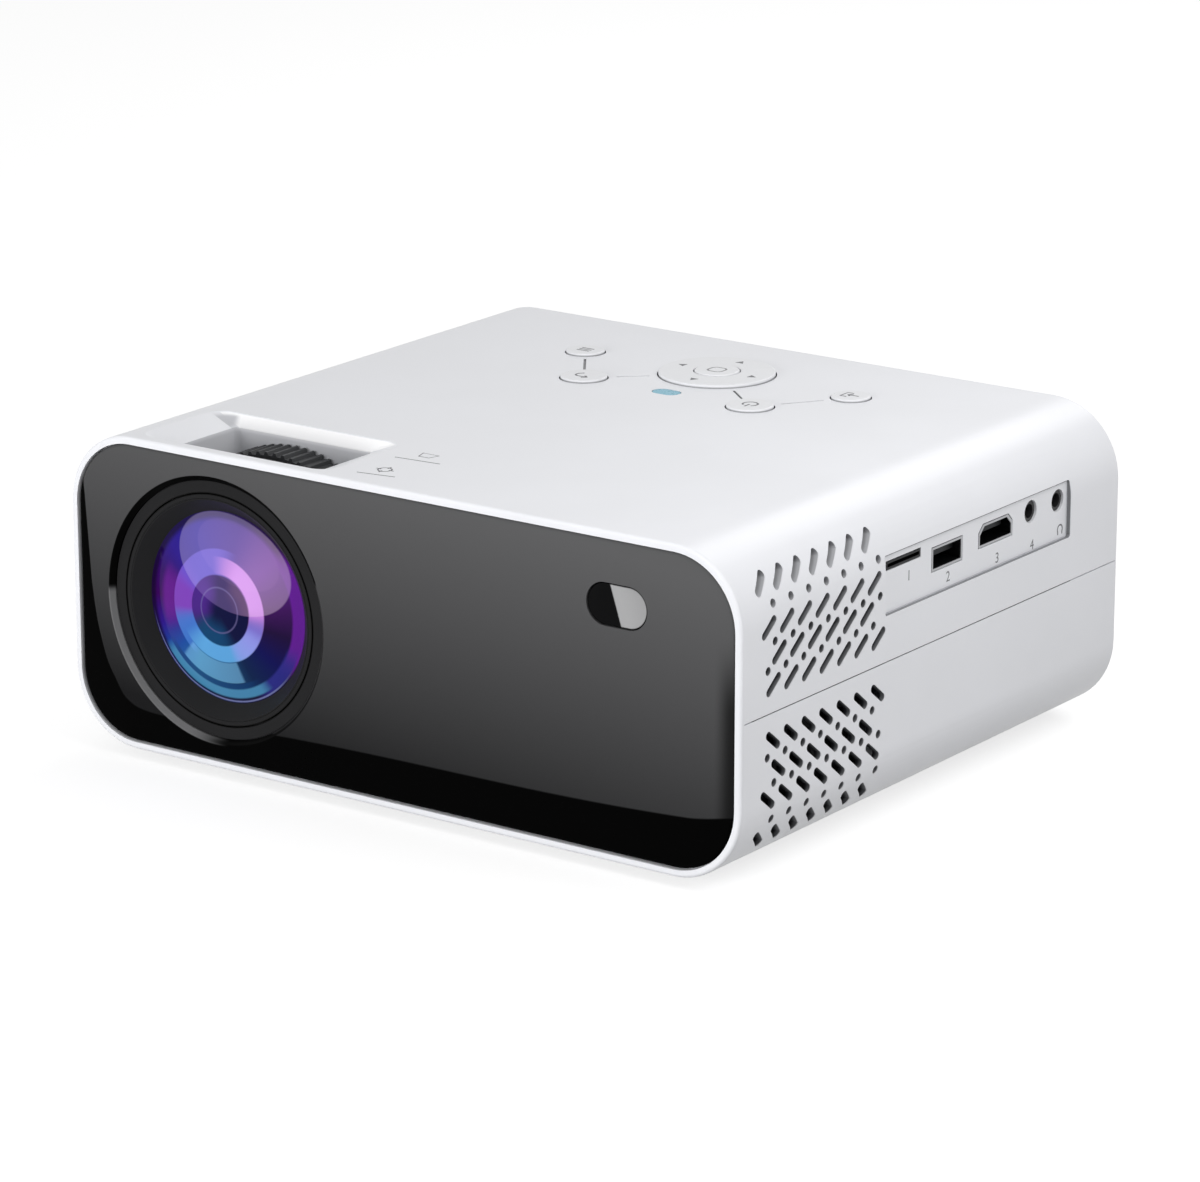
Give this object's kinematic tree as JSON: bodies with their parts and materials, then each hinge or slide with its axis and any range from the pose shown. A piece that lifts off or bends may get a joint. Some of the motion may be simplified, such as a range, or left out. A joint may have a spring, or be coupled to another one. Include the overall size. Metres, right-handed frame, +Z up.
{
  "type": "home projector",
  "caption": "Compact white home projector with a dark front panel, lens at one side, focus and keystone thumb rings in a top well, navigation keys, side sockets and vents.",
  "frame": {"origin": "on the table under the middle of the body", "axes": "+X to the viewer's right across the front, +Y to the back, +Z up; the lens faces -Y"},
  "size_m": [0.2, 0.168, 0.0837],
  "materials": {
    "white_shell": "satin gloss",
    "white_key": "satin gloss",
    "black_panel": "dark grey above a black lower band",
    "black_trim": "fine matt",
    "ring_rubber": "matt ribbed",
    "sensor_smoke": "smoked, clear gloss",
    "coated_glass": "violet coated",
    "clear_glass": "clear",
    "mirror_glass": "front silvered",
    "housing_black": "matt",
    "display_glass": "liquid crystal panel",
    "circuit_board": "green board",
    "socket_steel": "plated",
    "pin_steel": "plated",
    "socket_black": "matt",
    "sink_aluminium": "anodised",
    "copper": "copper plate",
    "brass_insert": "turned",
    "foot_rubber": "matt",
    "indicator_blue": "clear blue light guide",
    "part_black": "matt"
  },
  "bodies": {
    "casing": {"upper_casing": "white_shell", "lower_casing": "white_shell", "front_frame": "white_shell", "rear_panel": "white_shell", "port_plate": "white_shell", "front_panel": "black_panel", "sensor_window": "sensor_smoke", "remote_receiver": "part_black", "power_inlet": "socket_black", "lens_bezel": "black_trim", "lens_mount": "housing_black", "engine_housing": "housing_black", "engine_lid": "housing_black", "fold_mirror": "mirror_glass", "field_fresnel": "clear_glass", "collimating_fresnel": "clear_glass", "condenser_holder": "housing_black", "condenser_lens": "clear_glass", "light_source": "copper", "heat_sink": "sink_aluminium", "fan_frame": "part_black", "main_board": "circuit_board", "card_socket": "socket_steel", "data_socket": "socket_steel", "video_socket": "socket_steel", "av_jack": "socket_black", "headphone_jack": "socket_black", "key_board": "circuit_board", "key_switches": "part_black", "indicator_light": "indicator_blue", "power_board": "circuit_board", "power_components": "part_black", "speaker": "part_black", "rubber_feet": "foot_rubber", "tripod_insert": "brass_insert", "casing_screws": "pin_steel"},
    "focus_ring": {"focus_ring": "ring_rubber"},
    "lens_barrel": {"lens_barrel": "black_trim", "lens_retainer": "black_trim", "front_lens": "coated_glass", "front_spacer": "black_trim", "middle_lens": "clear_glass", "rear_spacer": "black_trim", "rear_lens": "clear_glass", "focus_pins": "pin_steel"},
    "keystone_ring": {"keystone_ring": "ring_rubber"},
    "keystone_link": {"keystone_link": "pin_steel"},
    "display": {"display_frame": "housing_black", "display_panel": "display_glass", "keystone_lever": "pin_steel", "display_pivot": "pin_steel"},
    "fan_rotor": {"fan_rotor": "part_black"},
    "nav_gimbal": {"nav_gimbal": "part_black"},
    "nav_ring": {"nav_ring": "white_key"},
    "centre_key": {"centre_key": "white_key"},
    "tilt_foot": {"tilt_foot": "foot_rubber"},
    "key_left_far": {"key_left_far": "white_key"},
    "key_left_near": {"key_left_near": "white_key"},
    "key_right_near": {"key_right_near": "white_key"},
    "key_right_far": {"key_right_far": "white_key"}
  },
  "joints": [
    {"name": "focus_turn", "type": "hinge", "parent": "casing", "child": "focus_ring", "pos_m": [-0.055, -0.07065, 0.0425], "axis": [0, 1, 0], "range_deg": [-30, 90]},
    {"name": "lens_travel", "type": "slide", "parent": "casing", "child": "lens_barrel", "axis": [0, -1, 0], "range_m": [-0.00201, 0.00601]},
    {"name": "keystone_turn", "type": "hinge", "parent": "casing", "child": "keystone_ring", "pos_m": [-0.055, -0.0562, 0.0425], "axis": [0, 1, 0], "range_deg": [-15, 15]},
    {"name": "link_swing", "type": "hinge", "parent": "keystone_ring", "child": "keystone_link", "pos_m": [-0.055, -0.0481, 0.0085], "axis": [0, 1, 0], "range_deg": [-15.1, 15.1]},
    {"name": "display_tilt", "type": "hinge", "parent": "casing", "child": "display", "pos_m": [-0.008, -0.01, 0.0425], "axis": [0, 1, 0], "range_deg": [-15.1, 15.1]},
    {"name": "fan_spin", "type": "hinge", "parent": "casing", "child": "fan_rotor", "pos_m": [0.0886, -0.051, 0.0425], "axis": [1, 0, 0], "continuous": true},
    {"name": "key_left_far_press", "type": "slide", "parent": "casing", "child": "key_left_far", "axis": [0, 0, -1], "range_m": [0, 0.0005], "stiffness_N_per_m": 800},
    {"name": "key_left_near_press", "type": "slide", "parent": "casing", "child": "key_left_near", "axis": [0, 0, -1], "range_m": [0, 0.0005], "stiffness_N_per_m": 800},
    {"name": "key_right_near_press", "type": "slide", "parent": "casing", "child": "key_right_near", "axis": [0, 0, -1], "range_m": [0, 0.0005], "stiffness_N_per_m": 800},
    {"name": "key_right_far_press", "type": "slide", "parent": "casing", "child": "key_right_far", "axis": [0, 0, -1], "range_m": [0, 0.0005], "stiffness_N_per_m": 800},
    {"name": "nav_pitch", "type": "hinge", "parent": "casing", "child": "nav_gimbal", "pos_m": [0, 0.0515, 0.078], "axis": [1, 0, 0], "range_deg": [-1.5, 1.5], "stiffness_Nm_per_rad": 0.06},
    {"name": "nav_roll", "type": "hinge", "parent": "nav_gimbal", "child": "nav_ring", "pos_m": [0, 0.0515, 0.078], "axis": [0, 1, 0], "range_deg": [-1.5, 1.5], "stiffness_Nm_per_rad": 0.06},
    {"name": "centre_press", "type": "slide", "parent": "casing", "child": "centre_key", "axis": [0, 0, -1], "range_m": [0, 0.0005], "stiffness_N_per_m": 800},
    {"name": "tilt_lift", "type": "slide", "parent": "casing", "child": "tilt_foot", "axis": [0, 0, -1], "range_m": [0, 0.012]}
  ],
  "couplings": [
    {"joint": "lens_travel", "follows": "focus_turn", "m_per_rad": 0.0038197},
    {"joint": "display_tilt", "follows": "keystone_turn", "ratio": 1},
    {"joint": "link_swing", "follows": "keystone_turn", "ratio": -1}
  ]
}
